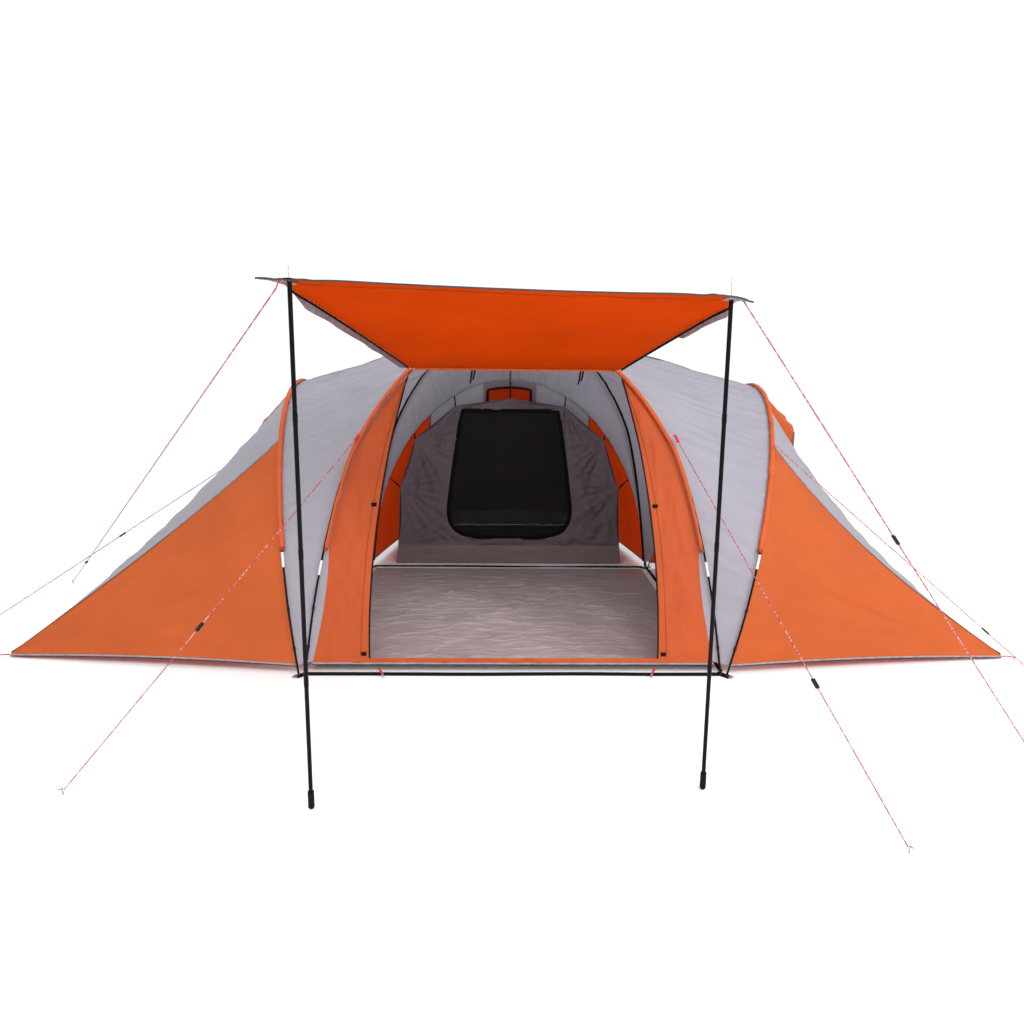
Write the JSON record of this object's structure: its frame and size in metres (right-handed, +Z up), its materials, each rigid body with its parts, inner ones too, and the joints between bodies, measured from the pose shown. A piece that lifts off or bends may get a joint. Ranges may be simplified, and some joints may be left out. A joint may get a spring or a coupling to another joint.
{
  "type": "dome tent",
  "caption": "Family dome tent pitched open: square dome, three low sleeping pods, and a front door flap raised on two poles as an awning.",
  "frame": {"origin": "centre of the groundsheet's underside, on the ground under the middle of the dome", "axes": "+Z up, -Y out of the doorway, +X to the right seen from the doorway"},
  "size_m": [6.2464, 5.6278, 1.985],
  "materials": {
    "fly_orange": "woven polyester, slight sheen",
    "fly_gray": "woven polyester, slight sheen",
    "cabin_gray": "breathable polyester, matte",
    "cabin_mesh": "fine insect mesh",
    "floor_taupe": "coated polyethylene, soft sheen",
    "webbing_black": "flat polyester webbing",
    "binding_gray": "folded edge binding",
    "cord_red": "braided polyester cord with a light fleck",
    "elastic_black": "elastic cord with a plastic barrel",
    "fibreglass_black": "resin-coated glass fibre",
    "ferrule_steel": "bright drawn steel",
    "foot_steel": "zinc plated",
    "prop_black": "gloss black powder coat",
    "prop_rubber": "moulded, matte",
    "plastic_black": "moulded, matte",
    "peg_steel": "zinc plated",
    "grommet_steel": "pressed, bright",
    "zip_black": "coil zip on tape"
  },
  "bodies": {
    "tent": {"pole_dome_a": "fibreglass_black", "pole_dome_b": "fibreglass_black", "pole_hoop_left": "fibreglass_black", "pole_hoop_right": "fibreglass_black", "pole_hoop_rear": "fibreglass_black", "pole_sleeves": "fly_orange", "pole_ferrules": "ferrule_steel", "pole_clips": "plastic_black", "pole_feet": "foot_steel", "ground_webbing": "webbing_black", "gore_left": "fly_gray", "gore_right": "fly_gray", "gore_rear": "fly_gray", "front_cheeks": "fly_orange", "front_top": "fly_orange", "door_sill": "fly_orange", "door_zips": "zip_black", "door_tabs": "webbing_black", "pod_sides_left": "fly_orange", "pod_sides_right": "fly_orange", "pod_sides_rear": "fly_orange", "pod_end_left": "fly_gray", "pod_end_right": "fly_gray", "pod_end_rear": "fly_gray", "vent_meshes": "cabin_mesh", "vent_hoods": "fly_orange", "hem_bindings": "binding_gray", "cabin_trays": "floor_taupe", "cabin_canopies": "cabin_gray", "cabin_wall_left": "cabin_gray", "cabin_wall_right": "cabin_gray", "cabin_wall_rear": "cabin_gray", "cabin_toggles": "elastic_black", "groundsheet": "floor_taupe", "peg_loops": "cord_red", "pegs": "peg_steel", "guy_front_left": "cord_red", "guy_front_right": "cord_red", "guy_side_left": "cord_red", "guy_side_right": "cord_red"},
    "awning": {"awning_flap": "fly_orange", "awning_grommets": "grommet_steel", "awning_bindings": "binding_gray"},
    "prop_left": {"prop_left_tube": "prop_black", "prop_left_foot": "prop_rubber", "prop_left_spike": "foot_steel"},
    "prop_right": {"prop_right_tube": "prop_black", "prop_right_foot": "prop_rubber", "prop_right_spike": "foot_steel"},
    "guy_awning_left": {"guy_awning_left": "cord_red"},
    "slider_awning_left": {"slider_awning_left": "plastic_black"},
    "guy_awning_right": {"guy_awning_right": "cord_red"},
    "slider_awning_right": {"slider_awning_right": "plastic_black"},
    "slider_front_left": {"slider_front_left": "plastic_black"},
    "slider_front_right": {"slider_front_right": "plastic_black"},
    "slider_side_left": {"slider_side_left": "plastic_black"},
    "slider_side_right": {"slider_side_right": "plastic_black"},
    "mesh_door_left": {"mesh_door_left": "cabin_mesh"},
    "mesh_door_right": {"mesh_door_right": "cabin_mesh"},
    "mesh_door_rear": {"mesh_door_rear": "cabin_mesh"}
  },
  "joints": [
    {"name": "awning_hinge", "type": "hinge", "parent": "tent", "child": "awning", "pos_m": [0, -0.63, 1.632], "axis": [1, 0, 0], "range_deg": [0, 66]},
    {"name": "prop_left_hinge", "type": "hinge", "parent": "tent", "child": "prop_left", "pos_m": [-0.79, -2.42, 0.013], "axis": [1, 0, 0], "range_deg": [0, 88]},
    {"name": "prop_right_hinge", "type": "hinge", "parent": "tent", "child": "prop_right", "pos_m": [0.73, -2.29, 0.013], "axis": [1, 0, 0], "range_deg": [0, 88]},
    {"name": "guy_awning_left_hinge", "type": "hinge", "parent": "tent", "child": "guy_awning_left", "pos_m": [-3.291, 0.608, 0.014], "axis": [0.5085, -0.1144, -0.8534], "range_deg": [0, 55.23]},
    {"name": "slider_awning_left_slide", "type": "slide", "parent": "guy_awning_left", "child": "slider_awning_left", "axis": [0.5662, -0.7023, 0.4315], "range_m": [-0.2, 0.2]},
    {"name": "guy_awning_right_hinge", "type": "hinge", "parent": "tent", "child": "guy_awning_right", "pos_m": [2.197, -2.149, 0.014], "axis": [0.7726, -0.2852, 0.5673], "range_deg": [0, 74.23]},
    {"name": "slider_awning_right_slide", "type": "slide", "parent": "guy_awning_right", "child": "slider_awning_right", "axis": [-0.6049, -0.059, 0.7942], "range_m": [-0.2, 0.2]},
    {"name": "slider_front_left_slide", "type": "slide", "parent": "tent", "child": "slider_front_left", "axis": [0.4308, 0.6852, 0.5873], "range_m": [-0.2, 0.2]},
    {"name": "slider_front_right_slide", "type": "slide", "parent": "tent", "child": "slider_front_right", "axis": [-0.2055, 0.8079, 0.5522], "range_m": [-0.2, 0.2]},
    {"name": "slider_side_left_slide", "type": "slide", "parent": "tent", "child": "slider_side_left", "axis": [0.7594, 0.3824, 0.5264], "range_m": [-0.2, 0.2]},
    {"name": "slider_side_right_slide", "type": "slide", "parent": "tent", "child": "slider_side_right", "axis": [-0.7233, 0.2605, 0.6395], "range_m": [-0.2, 0.2]},
    {"name": "mesh_door_left_hinge", "type": "hinge", "parent": "tent", "child": "mesh_door_left", "pos_m": [-1.2605, 0, 1.285], "axis": [0, -1, 0], "range_deg": [0, 45]},
    {"name": "mesh_door_right_hinge", "type": "hinge", "parent": "tent", "child": "mesh_door_right", "pos_m": [1.2605, 0, 1.285], "axis": [0, 1, 0], "range_deg": [0, 45]},
    {"name": "mesh_door_rear_hinge", "type": "hinge", "parent": "tent", "child": "mesh_door_rear", "pos_m": [0, 1.2605, 1.285], "axis": [-1, 0, 0], "range_deg": [0, 45]}
  ],
  "couplings": [
    {"joint": "prop_left_hinge", "follows": "awning_hinge", "ratio": 1.3333},
    {"joint": "prop_right_hinge", "follows": "awning_hinge", "ratio": 1.3333},
    {"joint": "guy_awning_left_hinge", "follows": "awning_hinge", "ratio": 0.836},
    {"joint": "guy_awning_right_hinge", "follows": "awning_hinge", "ratio": 1.124}
  ]
}
